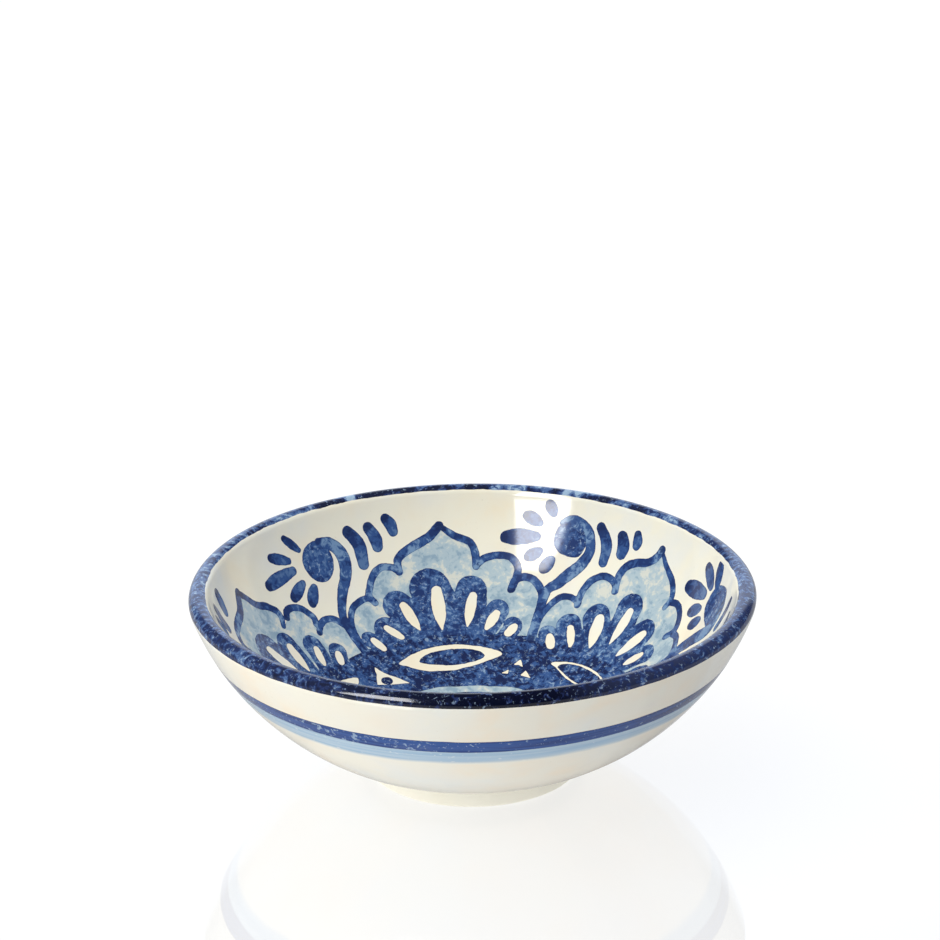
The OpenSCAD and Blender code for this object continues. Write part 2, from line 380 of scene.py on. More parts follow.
def contour(name, layer, edge):
    """Marching squares over a layer, with a shared point at each crossing, a top and an underside."""
    grids = np.stack([layer.u, layer.v, edge, layer.along, layer.tone])
    solid = edge > 0
    count = int(solid.sum())
    corner = np.full(edge.shape, -1)
    corner[solid] = np.arange(count)
    found = [grids[:, solid]]
    sides = []
    for a, b in ((grids[:, :, :-1], grids[:, :, 1:]), (grids[:, :-1], grids[:, 1:])):
        crossing = (a[2] > 0) != (b[2] > 0)
        a, b = a[:, crossing], b[:, crossing]
        share = np.clip(a[2] / (a[2] - b[2]), 0.03, 0.97)
        values = a * (1 - share) + b * share
        # How far along its stroke a point is, and the stroke's tone, come from the end that is further inside
        values[3:] = np.where(a[2] > b[2], a[3:], b[3:])
        found.append(values)
        side = np.full(crossing.shape, -1)
        side[crossing] = count + np.arange(len(share))
        count += len(share)
        sides.append(side)
    side_u, side_v = sides
    u, v, depth, along, tone = np.concatenate(found, 1)

    case = solid[:-1, :-1] * 1 + solid[:-1, 1:] * 2 + solid[1:, 1:] * 4 + solid[1:, :-1] * 8
    faces, rim = [], []
    for number, polygons in CELL_FACES.items():
        j, i = np.nonzero(case == number)
        spots = [corner[j, i], corner[j, i + 1], corner[j + 1, i + 1], corner[j + 1, i],
                 side_u[j, i], side_v[j, i + 1], side_u[j + 1, i], side_v[j, i]]
        for polygon in polygons:
            faces.extend(np.stack([spots[k] for k in polygon], 1).tolist())
            for a, b in zip(polygon, polygon[1:] + polygon[:1]):
                if a > 3 and b > 3:
                    rim.extend(np.stack([spots[a], spots[b]], 1).tolist())
    faces += [[x + count for x in reversed(face)] for face in faces]
    faces += [[b, a, a + count, b + count] for a, b in rim]
    angle = np.degrees(np.arctan2(v, u))
    return lay_paint(name, angle, np.hypot(u, v) * PARTS, np.maximum(depth, 0), layer.height, faces,
                     {"along": along, "tone": tone})


def strip(name, t_top, t_bottom, height, rows, values=None, segments=1440):
    """A closed band of paint round the bowl, between two lengths of the skin that vary with the angle."""
    angle = np.arange(segments) * 360 / segments
    share = np.linspace(0, 1, rows)[:, None]
    t = t_top(angle) * (1 - share) + t_bottom(angle) * share
    depth = np.minimum(share, 1 - share) * np.abs(t_bottom(angle) - t_top(angle))
    top, under = np.arange(2 * t.size).reshape(2, rows, segments)
    values = {key: np.tile(value(angle), rows) for key, value in (values or {}).items()}
    return lay_paint(name, np.tile(angle, rows), t.ravel(), depth.ravel(), height,
                     join_rings(under.tolist() + top[::-1].tolist()), values)


# ---------------- the painting: places chosen
#
# Angles are from the flower's or the scroll's own middle. Widths are half widths in mm.

# Strokes of a flower's outline, the left side first, then the right: points and widths
LINES_A = [
    ([(-0.2, 134.6), (2.3, 129.8), (5.9, 126.4), (9.5, 123.4), (11.7, 119.9), (12, 114.2)],
      [2.4, 2.5, 2.6, 2.3, 2.1, 2.1]),
    ([(12, 114.5), (14.2, 117), (17.1, 117.6), (20, 114), (21.9, 108.8), (22.9, 105.3),
      (21.9, 101.3)], 2.0),
    ([(21.9, 102), (24, 104.2), (26.8, 103.4), (29.7, 101.3), (32, 96.5), (33.4, 90), (33.4, 78)], 1.8),
    ([(-1.2, 133.2), (-4.2, 129.2), (-7.8, 126.3), (-9.3, 121), (-9.6, 114)], [1.6, 1.9, 2.0, 2.0, 2.0]),
    ([(-9.8, 115), (-12, 118.2), (-15.4, 119.8), (-18.9, 119.1), (-21.2, 114.5), (-20.9, 107),
      (-20.2, 104)], 2.0),
    ([(-20.1, 103.2), (-20.9, 107.9), (-23.5, 109.9), (-26.4, 108.8), (-28.7, 105.1), (-29.9, 100.4),
      (-30, 92), (-29.8, 78)], 2.1),
]
LINES_B = [
    ([(0.3, 138.3), (1.3, 133.6), (3.6, 129.8), (6.8, 128), (9.4, 124.7), (10.5, 120), (10.4, 115.4),
      (9.9, 112.1)], 2.2),
    ([(10.5, 114.6), (12.5, 116.8), (15.4, 117), (18, 114), (19.4, 109.7), (19.9, 105.1),
      (19.8, 100.4)], 2.0),
    ([(19.6, 101.6), (22.9, 103.4), (25.8, 102.3), (28.1, 98.1), (29.9, 92.9), (30.7, 87.3),
      (30.4, 78)], 1.8),
    ([(-0.3, 136.8), (-1.8, 133.8), (-3.9, 130.8), (-6.8, 127.5), (-9.1, 123.3), (-10, 119.1),
      (-9.4, 114.9)], [1.1, 1.4, 1.6, 1.9, 1.9, 1.9, 1.9]),
    ([(-10.4, 118.4), (-13.5, 119.3), (-16.4, 116.8), (-18.4, 112.6), (-19, 108.8), (-17.4, 104.1)], 1.9),
    ([(-18.6, 107.2), (-21.6, 107.9), (-23.9, 105.5), (-25.6, 102.3), (-27.6, 96), (-28.4, 88),
      (-28.3, 78)], 1.9),
]
LINES_C = [
    ([(-0.4, 134.4), (0.9, 131.4), (2.7, 127.9), (4.5, 126.3), (7.2, 125.6), (10, 124.8), (12.2, 123.3),
      (13.8, 119), (13.2, 113)], [2.2, 2.5, 2.6, 2.7, 2.7, 2.6, 2.2, 1.8, 1.7]),
    ([(12.8, 113), (15, 117), (18, 117), (21.6, 112), (23.2, 106), (22.4, 100.5)], 2.0),
    ([(22.6, 102), (26.4, 104.8), (30, 100.6), (32, 94), (32.8, 86), (32.6, 78)], 1.9),
    ([(-0.8, 133), (-2.8, 129.2), (-4.6, 124.8), (-6.4, 122.2), (-8.2, 120.8), (-10, 118.2), (-11.4, 115.3),
      (-11.5, 111.6), (-10.3, 108.2)], [1.9, 1.8, 1.9, 2.0, 2.1, 2.1, 2.1, 1.9, 1.8]),
    ([(-13.7, 110.4), (-14.6, 112.4), (-16.4, 113.1), (-18.7, 112.3), (-20.5, 110.4), (-21.9, 107.1),
      (-22.8, 103.8), (-22.2, 101)], 2.0),
    ([(-21.4, 96.4), (-23.2, 99), (-26, 100.8), (-29, 99.8), (-30.7, 97), (-32.6, 91), (-33.2, 78)], 1.9),
]

# Petals: the dome's top, its half width in mm, then the bare slot's outer end, inner end and half width
PETALS_A = [
    ((29.5, 88.5), 4.8, (28.6, 83.8), (26.1, 76.8), 2.0),
    ((21.6, 93.6), 7.0, (22.1, 88.5), (17.3, 80.3), 1.9),
    ((15, 105.5), 8.0, (13.8, 98.9), (10.1, 82.9), 2.6),
    ((4.1, 114.5), 10.4, (2.2, 105.3), (2.2, 82), 3.3),
    ((-8.2, 109.8), 7.9, (-8.9, 101.5), (-6.7, 82.9), 2.6),
    ((-16.7, 98), 5.8, (-16.9, 91.5), (-13.4, 81.7), 2.4),
    ((-22.5, 89.4), 4.8, (-23.5, 84.4), (-21.2, 79.6), 2.2),
]
PETALS_B = [
    ((25.9, 87.5), 4.8, (25, 82.2), (22.4, 76.1), 2.2),
    ((19.8, 95.9), 6.4, (19.2, 89.7), (15.1, 78.9), 2.0),
    ((11.6, 104.5), 7.4, (10.8, 99), (7.6, 81.5), 3.2),
    ((2.3, 114.8), 7.6, (1.6, 108), (1.3, 87), 2.6),
    ((-7.8, 107), 7.3, (-8.6, 101), (-4.8, 83.6), 2.9),
    ((-15.3, 97.8), 5.6, (-14.3, 91.8), (-10.9, 82.2), 2.1),
    ((-21.6, 89.6), 5.0, (-21.2, 85), (-18.6, 78.8), 1.9),
]
PETALS_C = [
    ((29.2, 87.6), 4.8, (28.6, 83.4), (26.2, 77.4), 1.9),
    ((22.4, 93.8), 6.6, (21.8, 89), (17.8, 80.2), 1.9),
    ((13.8, 105), 7.8, (13.2, 98.8), (9.8, 82.6), 2.5),
    ((3.6, 114.4), 9.2, (3.3, 107.6), (0.2, 84), 2.9),
    ((-6, 107.1), 6.8, (-6.6, 100.4), (-4.6, 84.6), 2.8),
    ((-15.3, 98.8), 6.0, (-16, 91.6), (-13.1, 82), 2.1),
    ((-22.7, 89.4), 5.0, (-22.5, 83.8), (-20.3, 78.6), 2.2),
]
FLOWERS = [
    (98.5, LINES_A, PETALS_A), (37, LINES_B, PETALS_B), (165.5, LINES_C, PETALS_C),
    (-21, LINES_A, PETALS_B), (-79, LINES_B, PETALS_A), (-137, LINES_C, PETALS_C),
]
ALMOND = [
    (23.6, 67.5), (11, 72.2), (0, 73.1), (-10, 72), (-20.9, 68.2), (-15, 63.5), (-8.5, 60.2), (0, 58),
    (7.4, 58.2), (14.6, 59.9), (21.1, 64.6),
]
EYE = [
    (14.9, 65.8), (11.5, 68.6), (5, 70.3), (-3, 70.7), (-10, 69.5), (-13.5, 66.9), (-12, 64.5), (-8, 62.5),
    (0, 61.1), (8, 62.2), (12.5, 63.8),
]
THIN_ALMOND = [
    (18.5, 67.6), (13, 70.4), (8, 71.7), (3, 72.2), (-2, 72), (-8, 71), (-14, 69), (-17, 67.4), (-10, 63.4),
    (-2, 61.3), (6, 61.9), (12, 64.1), (15.3, 65.8),
]
THIN_EYE = [
    (14.8, 66.6), (13, 69), (8, 70.5), (3, 71), (-3, 70.8), (-9, 69.7), (-14, 67.6), (-9, 64.2), (-2, 62.1),
    (6, 62.7), (12, 64.9),
]
STAR = [(0.6, 69.3), (2.2, 65.5), (6.5, 60), (1, 57.5), (-9.5, 54.6), (-4, 61.5), (-1.2, 64.8)]
STAR_PARTS = [
    [(1.3, 65.9), (3.7, 62.3), (1.0, 62.6), (-1.5, 61.2)], [(-3.2, 60), (-1.8, 56.6), (-7.6, 56)],
    [(8, 56.4), (4.9, 59.2), (4.5, 56.4)],
]

# Scrolls: stem and its widths, head, then dabs as start, end and width, and leaves as three points and width
STEM_P = (
    [(0.6, 77.5), (1.2, 90), (0.7, 98.9), (-0.7, 104.2), (-2.7, 110), (-4.9, 115.2), (-6.4, 120.5),
     (-6.8, 125.7), (-6.1, 130.4), (-4.1, 134.4), (-1.2, 136)],
    [2.4, 2.3, 2.3, 2.4, 2.7, 3.0, 3.3, 3.4, 3.3, 3.2, 2.8],
)
HEAD_P = [
    (5.5, 128), (4.9, 133), (2.8, 136.8), (-0.4, 138), (-2.8, 136), (-3.6, 131), (-3.8, 126.5),
    (-2.8, 121.5), (0, 117.8), (3.2, 119), (5, 123),
]
DABS_P = [
    ((9.1, 144.6), (5.1, 135.6), 2.3), ((15.5, 138.6), (9.3, 132.9), 2.9), ((20.6, 127), (8.8, 128.2), 3.6),
    ((13.8, 116), (7.9, 121), 3.3), ((8.5, 110.2), (5, 117.4), 3.3),
]
LEAVES_P = [
    ((-9.5, 139.1), (-12.1, 130.4), (-11.9, 119.6), 3.5),
    ((-15.3, 138.6), (-16.8, 132.7), (-17.1, 127.2), 3.3),
    ((-20.2, 141.2), (-21.5, 137.4), (-22, 133.6), 3.0),
]
STEM_Q = (
    [(2, 77.5), (2.3, 92), (1.7, 104.1), (-0.9, 108.8), (-3.7, 114.4), (-6.3, 120), (-7.7, 126.6),
     (-7.2, 132.2), (-5.8, 137.3), (-3.2, 140.1), (-0.9, 140.4), (0.9, 138.3)],
    [2.4, 2.4, 2.4, 2.8, 3.2, 3.0, 2.7, 2.6, 2.6, 2.5, 2.3, 1.8],
)
HEAD_Q = [
    (2.7, 130.3), (2.4, 134.6), (1.2, 138), (-1.2, 139.6), (-4, 138.6), (-6.2, 134), (-6.0, 127),
    (-4.4, 123.2), (-1.6, 122.8), (0.8, 124.2), (2.2, 126.8),
]
DABS_Q = [
    ((15.9, 128.9), (6.9, 130.4), 4.0), ((10.4, 140.4), (6.7, 137), 3.2), ((4.9, 147), (3.5, 142.2), 3.0),
    ((9, 119.8), (5.8, 123.9), 3.1), ((4.1, 114.6), (2.3, 120.2), 3.3),
]
LEAVES_Q = [
    ((-8.9, 141), (-12, 132), (-12.3, 122.2), 3.0), ((-15.6, 138.6), (-16.8, 133.6), (-16.8, 129.2), 3.4),
    ((-19.9, 141.2), (-20.5, 137.8), (-20.5, 135.2), 2.7),
]
STEM_R = (
    [(2.2, 77.5), (2.2, 92), (1.6, 104), (-0.4, 111), (-2.4, 116), (-4.6, 120.5), (-6.2, 125), (-6.4, 130)],
    [2.6, 2.6, 3.0, 3.4, 3.6, 3.6, 3.2, 2.6],
)
HEAD_R = [
    (4, 131), (3.5, 137), (1.5, 140.5), (-1, 142.5), (-3.5, 142.6), (-5.5, 140), (-7, 136.5), (-7.7, 131),
    (-7, 126), (-4.5, 122.5), (-1, 123.2), (1.5, 125), (3.3, 127.5),
]
DABS_R = [
    ((5.5, 148.2), (2.8, 139), 3.7), ((11, 143), (5.3, 136.3), 3.5), ((15.6, 129.5), (6.6, 131.3), 4.2),
    ((8.9, 120.8), (5.5, 125), 3.5), ((4.9, 116.3), (2.6, 121.3), 3.3),
]
LEAVES_R = [
    ((-9.8, 144), (-10.3, 136), (-9.8, 127.4), 2.6), ((-15.6, 141), (-16.6, 135), (-16.8, 130), 3.0),
    ((-19.9, 141.2), (-20.5, 137.8), (-20.5, 135.2), 2.6),
]
LEAVES_S = [
    ((-6.8, 141), (-8.5, 135), (-9.5, 130), 2.4), ((-10.8, 142.6), (-11.6, 136), (-12.6, 128.8), 3.2),
    ((-17.6, 143.4), (-17.7, 139), (-17.3, 134.6), 3.9),
]
SCROLLS = [
    (132, STEM_P, HEAD_P, DABS_P, LEAVES_P), (66, STEM_Q, HEAD_Q, DABS_Q, LEAVES_Q),
    (8, STEM_R, HEAD_R, DABS_R, LEAVES_R), (194, STEM_P, HEAD_P, DABS_P, LEAVES_S),
    (-50, STEM_P, HEAD_P, DABS_P, LEAVES_P), (-108, STEM_R, HEAD_R, DABS_R, LEAVES_Q),
]
STARS = [133, 68, 9, -50, -108, -166]
GROUND_IN, GROUND_OUT, CENTRE_OUT = 47.3, 79.5, 43.0
# Where petals and wash end under the ground, and how far the ground laps over the strokes round it
PETAL_FOOT, WASH_FOOT = 75, 76
LAP = 2.5
tones = np.random.default_rng(11)


def next_tone():
    return float(tones.uniform(-1, 1))


def turned(points, angle):
    return [(a + angle, s) for a, s in points]


def between(start, end, shares):
    """Points on the way from one place to another, at the given shares of it."""
    return [(start[0] + (end[0] - start[0]) * k, start[1] + (end[1] - start[1]) * k) for k in shares]


def cut_slots(layer):
    """Leaves the middle of every petal bare."""
    for at, _, petals in FLOWERS:
        for _, _, outer, inner, half in petals:
            point = np.interp(outer[1], [86, 96], [0.85, 0.12])
            path = between(outer, inner, (0.12, 0.42, 0.72, 1.0 - 0.1 * point))
            widths = [half * 0.76, half, half * (0.74 + 0.2 * point), half * point]
            layer.cut(layer.stroke(turned(path, at), widths))


def paint_petals():
    """The petals with their bare slots, and a copy of the domes alone for the wash to stay clear of."""
    layer = Layer(0.05)
    domes = Layer(0, rough=0)
    for at, _, petals in FLOWERS:
        for top, half, outer, inner, _ in petals:
            lean = (outer[0] - inner[0]) / (outer[1] - inner[1])
            foot = (inner[0] + lean * (PETAL_FOOT - inner[1]), PETAL_FOOT)
            middle = ((outer[0] + inner[0]) / 2, (outer[1] + inner[1]) / 2)
            path = turned([foot, middle, (top[0], top[1] - half)], at)
            widths = [half * 0.86, half * 0.97, half]
            layer.put(layer.stroke(path, widths), next_tone())
            domes.put(domes.stroke(path, widths), 0.0)
    cut_slots(layer)
    layer.keep(layer.s - GROUND_OUT + LAP)
    return layer, domes


def paint_wash(domes):
    layer = Layer(0.025)
    for at, lines, _ in FLOWERS:
        left = [p for line, _ in lines[:3] for p in line]
        right = [p for line, _ in lines[3:] for p in line]
        loop = [(a * 0.985, s - 0.8) for a, s in left[::-1][1:] + right[:-1]]
        loop = [(left[-1][0], WASH_FOOT)] + loop + [(right[-1][0], WASH_FOOT)]
        layer.put(layer.area(turned(loop, at), smooth=False), next_tone())
    layer.keep(-domes.inside + 1.4)
    layer.keep(layer.s - GROUND_OUT + LAP)
    return layer


def paint_marks(marks, height, rough=0.22, under=False):
    """A layer of strokes, and of areas for marks with no widths. Its end can run in under the ground."""
    layer = Layer(height, rough)
    for points, widths in marks:
        layer.put(layer.stroke(points, widths) if widths else layer.area(points), next_tone())
    if under:
        layer.keep(layer.s - GROUND_OUT + LAP)
    return layer


def paint_ground():
    layer = Layer(0.055)
    wobble = 0.8 * np.sin(np.radians(7 * layer.angle)) + 0.4 * np.sin(np.radians(17 * layer.angle + 40))
    layer.inside = np.minimum(layer.s - GROUND_IN - wobble * 0.6, GROUND_OUT + 0.4 * wobble - layer.s)
    cut_slots(layer)
    for k, (at, _, _) in enumerate(FLOWERS):
        layer.cut(layer.area(turned(THIN_ALMOND if k % 2 else ALMOND, at)))
    for k, at in enumerate(STARS):
        for part in STAR_PARTS if k % 2 else [STAR]:
            layer.cut(layer.area(turned(part, at), smooth=False))
    return layer


def paint_centre():
    """The disc in the middle, with six bare petals round a bare ring, and the wash round the disc."""
    layer = Layer(0.045)
    layer.inside = CENTRE_OUT - layer.s + 0.4 * np.sin(np.radians(5 * layer.angle))
    for at in range(0, 360, 60):
        petal = turned([(0, 33.5), (0, 26), (0, 14.5)], at + 30)
        layer.cut(layer.stroke(petal, [0.8, 4.4, 1.0]))
        layer.cut(layer.stroke(turned([(0, 37.4), (0, 36.4)], at), [1.7, 1.3]))
    layer.keep(np.abs(layer.s - 9.5) - 1.1)
    for at in range(0, 360, 60):
        layer.put(layer.stroke(turned([(0, 31), (0, 25), (0, 19)], at + 30), [0.5, 1.5, 0.6]), next_tone())
    ring = Layer(0.025)
    ring.inside = 3.4 - np.abs(ring.s - (CENTRE_OUT + GROUND_IN) / 2)
    return layer, ring


def scroll_dabs():
    for at, _, _, dabs, _ in SCROLLS:
        for start, end, half in dabs:
            path = turned(between(start, end, (0.08, 0.34, 0.66, 0.94)), at)
            yield path, [half * 0.76, half, half * 0.92, half * 0.62]


def scroll_leaves():
    for at, *_, leaves in SCROLLS:
        for start, middle, end, half in leaves:
            first, last = (tuple(0.86 * p + 0.14 * q for p, q in zip(tip, middle)) for tip in (start, end))
            yield turned([first, middle, last], at), [half * 0.84, half, half * 0.84]


# ---------------- materials

def colour(r, g, b):
    """A linear colour from 0-255 screen values."""
    return tuple(c / 255 / 12.92 if c <= 10 else ((c / 255 + 0.055) / 1.055) ** 2.4 for c in (r, g, b)) + (1,)


BLACK = colour(3, 7, 32)
DEEP = colour(28, 40, 80)
NAVY = colour(35, 55, 104)
SLATE = colour(50, 59, 92)
COBALT = colour(52, 82, 136)
PETAL_BLUE = colour(58, 88, 140)
MID_BLUE = colour(84, 114, 157)
STEEL = colour(114, 144, 179)
FLECK = colour(160, 183, 204)
WASH = colour(170, 188, 197)
WASH_DEEP = colour(138, 162, 180)
WASH_PALE = colour(207, 209, 200)
CREAM_IN = colour(236, 231, 213)
CREAM_OUT = colour(232, 228, 214)


class Nodes:
    """Nodes added to a tree with their inputs in one call."""

    def __init__(self, tree):
        self.tree = tree

    def link(self, source, socket):
        """Puts a number or a colour on a socket, or links an output to it."""
        if isinstance(source, (int, float, tuple)):
            socket.default_value = source
        else:
            self.tree.links.new(source, socket)

    def add(self, kind, inputs, **settings):
        """A new node's outputs."""
        node = self.tree.nodes.new("ShaderNode" + kind)
        for key, value in settings.items():
            setattr(node, key, value)
        for key, value in inputs.items():
            self.link(value, node.inputs[key])
        return node.outputs

    def math(self, kind, a, b=0.0, c=0.0):
        return self.add("Math", {0: a, 1: b, 2: c}, operation=kind)[0]

    def times(self, a, b, plus=0.0):
        return self.math("MULTIPLY_ADD", a, b, plus)

    def mix(self, share, a, b):
        return self.add("Mix", {"Factor": share, 6: a, 7: b}, data_type="RGBA")[2]

    def choose(self, which, without, within):
        """Mixes two numbers."""
        return self.add("Mix", {"Factor": which, "A": without, "B": within}, data_type="FLOAT")["Result"]


class Graph(Nodes):
    """One material's nodes."""

    def __init__(self, name, roughness=0.1, specular=0.5):
        self.material = bpy.data.materials.new(name)
        self.material.use_nodes = True
        super().__init__(self.material.node_tree)
        self.shader = self.tree.nodes["Principled BSDF"]
        self.shader.inputs["Roughness"].default_value = roughness
        self.shader.inputs["Specular IOR Level"].default_value = specular
        self.place = self.add("TexCoord", {})["Object"]

    def noise(self, scale, detail=2.0, roughness=0.5, distortion=0.0, stretch=None):
        """Noise on the object's own coordinates; the scale is in features a metre."""
        place = self.place
        if stretch:
            place = self.add("Mapping", {"Vector": place, "Scale": stretch})["Vector"]
        return self.add("TexNoise", {"Vector": place, "Scale": scale, "Detail": detail,
                                     "Roughness": roughness, "Distortion": distortion})["Fac"]

    def step(self, value, low, high):
        """0 at low, 1 at high and smooth between, whichever of them is larger."""
        inputs = {"Value": value, "From Min": low, "From Max": high}
        return self.add("MapRange", inputs, interpolation_type="SMOOTHSTEP")["Result"]

    def attribute(self, name):
        return self.add("Attribute", {}, attribute_name=name)["Fac"]

    def shades(self, level, first, *others):
        """The first colour, and each of the others from where the level passes between its two limits."""
        for low, high, shade in others:
            first = self.mix(self.step(level, low, high), first, shade)
        return first

    def pooled(self, ragged, start, strength, dark, body):
        """Paint that is darker along its edge, which the noise makes ragged."""
        depth = self.times(ragged, 0.9, self.math("ADD", self.attribute("edge"), -0.45))
        share = self.times(self.step(depth, start, start + 0.6), strength, 1 - strength)
        return self.mix(share, dark, body)

    def finish(self, body):
        self.link(body, self.shader.inputs["Base Color"])
        return self.material


def sponged(name, dark, middle, light, shift=0.0):
    """Cobalt dabbed on: dark and lighter blotches with pale flecks where the glaze shows through."""
    g = Graph(name)
    patches = g.noise(90, 2, 0.5, 0.5)
    blotches = g.noise(320, 4, 0.64, 0.6)
    grain = g.noise(620, 3, 0.6, 0.8)
    level = g.times(patches, 0.5, g.math("ADD", blotches, 0.05 + shift))
    level = g.times(g.attribute("tone"), 0.02, level)
    body = g.shades(level, dark, (0.72, 0.84, middle), (0.86, 1.0, light))
    speck = g.times(grain, 0.7, g.times(blotches, 0.3))
    body = g.mix(g.times(g.step(speck, 0.54, 0.64), 0.6), body, FLECK)
    return g.finish(g.pooled(grain, 0.1, 0.6, dark, body))


def brushed(name, dark, middle, light, blob):
    """Cobalt put on with a loaded brush: a darker start and thin edge, and paler watery stretches."""
    g = Graph(name)
    along = g.attribute("along")
    water = g.noise(130, 2, 0.5, 0.5)
    cloud = g.noise(320, 3, 0.6, 0.8)
    level = g.times(cloud, 0.7, g.times(g.attribute("tone"), 0.03, water))
    level = g.times(along, blob * 1.6, g.math("ADD", level, -0.05 - blob * 0.8))
    body = g.shades(level, dark, (0.66, 0.80, middle), (0.83, 0.99, light))
    begun = g.step(g.times(cloud, 0.3, g.math("ADD", along, -0.15)), blob * 0.3, blob * 1.5)
    body = g.mix(g.times(begun, 0.7, 0.3), DEEP, body)
    return g.finish(g.pooled(cloud, 0.15, 0.7, dark, body))


def watery(name):
    """A thin wash, pooled darker in places."""
    g = Graph(name)
    pools = g.noise(110, 3, 0.55, 0.6)
    grain = g.noise(420, 3, 0.6, 0.6)
    level = g.times(g.attribute("tone"), 0.02, g.times(grain, 0.5, pools))
    body = g.shades(level, WASH_DEEP, (0.58, 0.74, WASH), (0.76, 0.90, WASH_PALE))
    return g.finish(g.mix(g.step(g.attribute("edge"), 0.0, 0.6), WASH_DEEP, body))


def glaze(name, base, cool, warm, roughness=0.08):
    """Cream glaze: soft drifts of tone and faint specks."""
    g = Graph(name, roughness=roughness)
    drift = g.noise(22, 2, 0.5, 0.3)
    cloud = g.noise(60, 3, 0.55, 0.2)
    specks = g.step(g.noise(700, 2, 0.6, 0.0), 0.72, 0.77)
    body = g.mix(g.step(cloud, 0.3, 0.7), g.mix(g.step(drift, 0.35, 0.65), cool, warm), base)
    return g.finish(g.mix(g.times(specks, 0.35), body, colour(196, 186, 160)))


def bare_clay(name, base, dark):
    """Unglazed fired clay: grainy and matt."""
    g = Graph(name, roughness=0.75, specular=0.3)
    grain = g.noise(900, 4, 0.65)
    body = g.mix(g.step(g.noise(80, 3, 0.5), 0.3, 0.7), base, dark)
    bump = g.add("Bump", {"Distance": 0.00015, "Height": grain})
    g.link(bump["Normal"], g.shader.inputs["Normal"])
    return g.finish(g.mix(g.times(g.step(grain, 0.58, 0.7), 0.5), body, dark))


def rim_look():
    """Dabs of near-black navy and steel blue, broken up with flecks; in long patches at the back, and lighter
    and greyer towards the sides as painted reflection.
    """
    g = Graph("rim_cobalt")
    # The tone and the grey share change round the rim; their rise towards the sides is painted reflection
    tone = g.attribute("tone")
    lengths = g.noise(62, 2, 0.5, 0.4)
    blotches = g.noise(330, 4, 0.64, 0.6)
    grain = g.noise(620, 3, 0.6, 0.8)
    patch = g.times(g.math("ADD", lengths, -0.5), g.attribute("patch"))
    level = g.math("ADD", g.times(tone, 0.16, blotches), patch)
    ink = g.mix(g.times(g.attribute("slate_and_sheen"), 0.9), BLACK, SLATE)
    body = g.shades(level, ink, (0.38, 0.50, colour(33, 46, 88)), (0.50, 0.62, colour(70, 96, 142)),
                    (0.64, 0.76, colour(142, 166, 190)))
    speck = g.times(grain, 0.7, g.times(blotches, 0.3))
    share = g.times(g.step(speck, 0.565, 0.645), g.times(tone, 0.16, 0.56))
    return g.finish(g.mix(share, body, FLECK))


def line_look():
    """The line turned on the wheel: streaks along it, and pale specks that crowd at the front left."""
    g = Graph("line_cobalt")
    streaks = g.noise(60, 3, 0.6, 0.0, stretch=(0.35, 0.35, 14.0))
    specks = g.noise(480, 3, 0.6, 0.6)
    body = g.mix(g.step(streaks, 0.38, 0.62), colour(26, 59, 122), colour(44, 82, 149))
    speck = g.step(g.times(g.attribute("fleck"), 0.086, specks), 0.66, 0.72)
    body = g.mix(g.times(speck, 0.7), body, FLECK)
    return g.finish(g.mix(g.step(g.attribute("edge"), 0.1, 0.7), colour(26, 52, 111), body))


def turned_wash():
    """The wash under the line: streaks along it, and an edge that fades out into the glaze."""
    g = Graph("wash_outside")
    streaks = g.noise(50, 3, 0.55, 0.0, stretch=(0.3, 0.3, 12.0))
    specks = g.noise(420, 2, 0.5, 0.4)
    body = g.mix(g.step(streaks, 0.35, 0.65), colour(150, 178, 202), colour(174, 195, 210))
    body = g.mix(g.times(g.step(specks, 0.64, 0.73), 0.6), body, colour(214, 220, 220))
    return g.finish(g.mix(g.step(g.attribute("edge"), 0.0, 3.6), CREAM_OUT, body))


# ---------------- pieces

def claim(piece, material, slot, *nodes):
    """Gives a piece its material and its body, and hides the CAD nodes it stands for. The slot is not used.
    """
    piece.data.materials.append(material)
    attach(piece, "root")
    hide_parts(*nodes)


def clay_outline():
    """The clay wall, CLAY_D under the skin: the underside, the outside, the lip, the inside."""
    inside = FLAT_R + INNER_R * np.linspace(0, INNER_PHI, 60)
    bead = LIP_START + LIP_R * np.linspace(0, LIP_TURN, 24)[1:-1]
    outside = LIP_END + OUTER_R * np.linspace(0, OUTER_PHI, 60)
    r, z, nr, nz = section(np.concatenate([[0], inside, bead, outside])[::-1])
    return [(0, UNDER_H + CLAY_D)] + list(zip(r - CLAY_D * nr, z - CLAY_D * nz))


def under_height(r, depth=0.0):
    """The height of the wall's outside at a radius, or of the surface that lies depth under it."""
    return OUTER_Z - math.sqrt((OUTER_R - depth) ** 2 - (r - FLAT_R) ** 2)


def foot_outline():
    """The foot ring: a bearing face with rounded edges, an upright outside and a rounded inner side."""
    inner = FOOT_R - FOOT_W
    top_out = under_height(FOOT_R, CLAY_D)
    round_out, round_in = 1.6, 1.2
    quarter = np.linspace(0, math.pi / 2, 8)
    outline = [(inner + round_in * (1 - math.cos(q)), round_in * (1 - math.sin(q))) for q in quarter]
    outline += [(FOOT_R - round_out * (1 - math.sin(q)), round_out * (1 - math.cos(q))) for q in quarter]
    outline += [(FOOT_R, top_out - 0.4), (FOOT_R, top_out + 0.1)]
    outline += [(r, under_height(r, CLAY_D) + 0.1) for r in np.linspace(FOOT_R - 0.4, inner, 8)]
    return outline


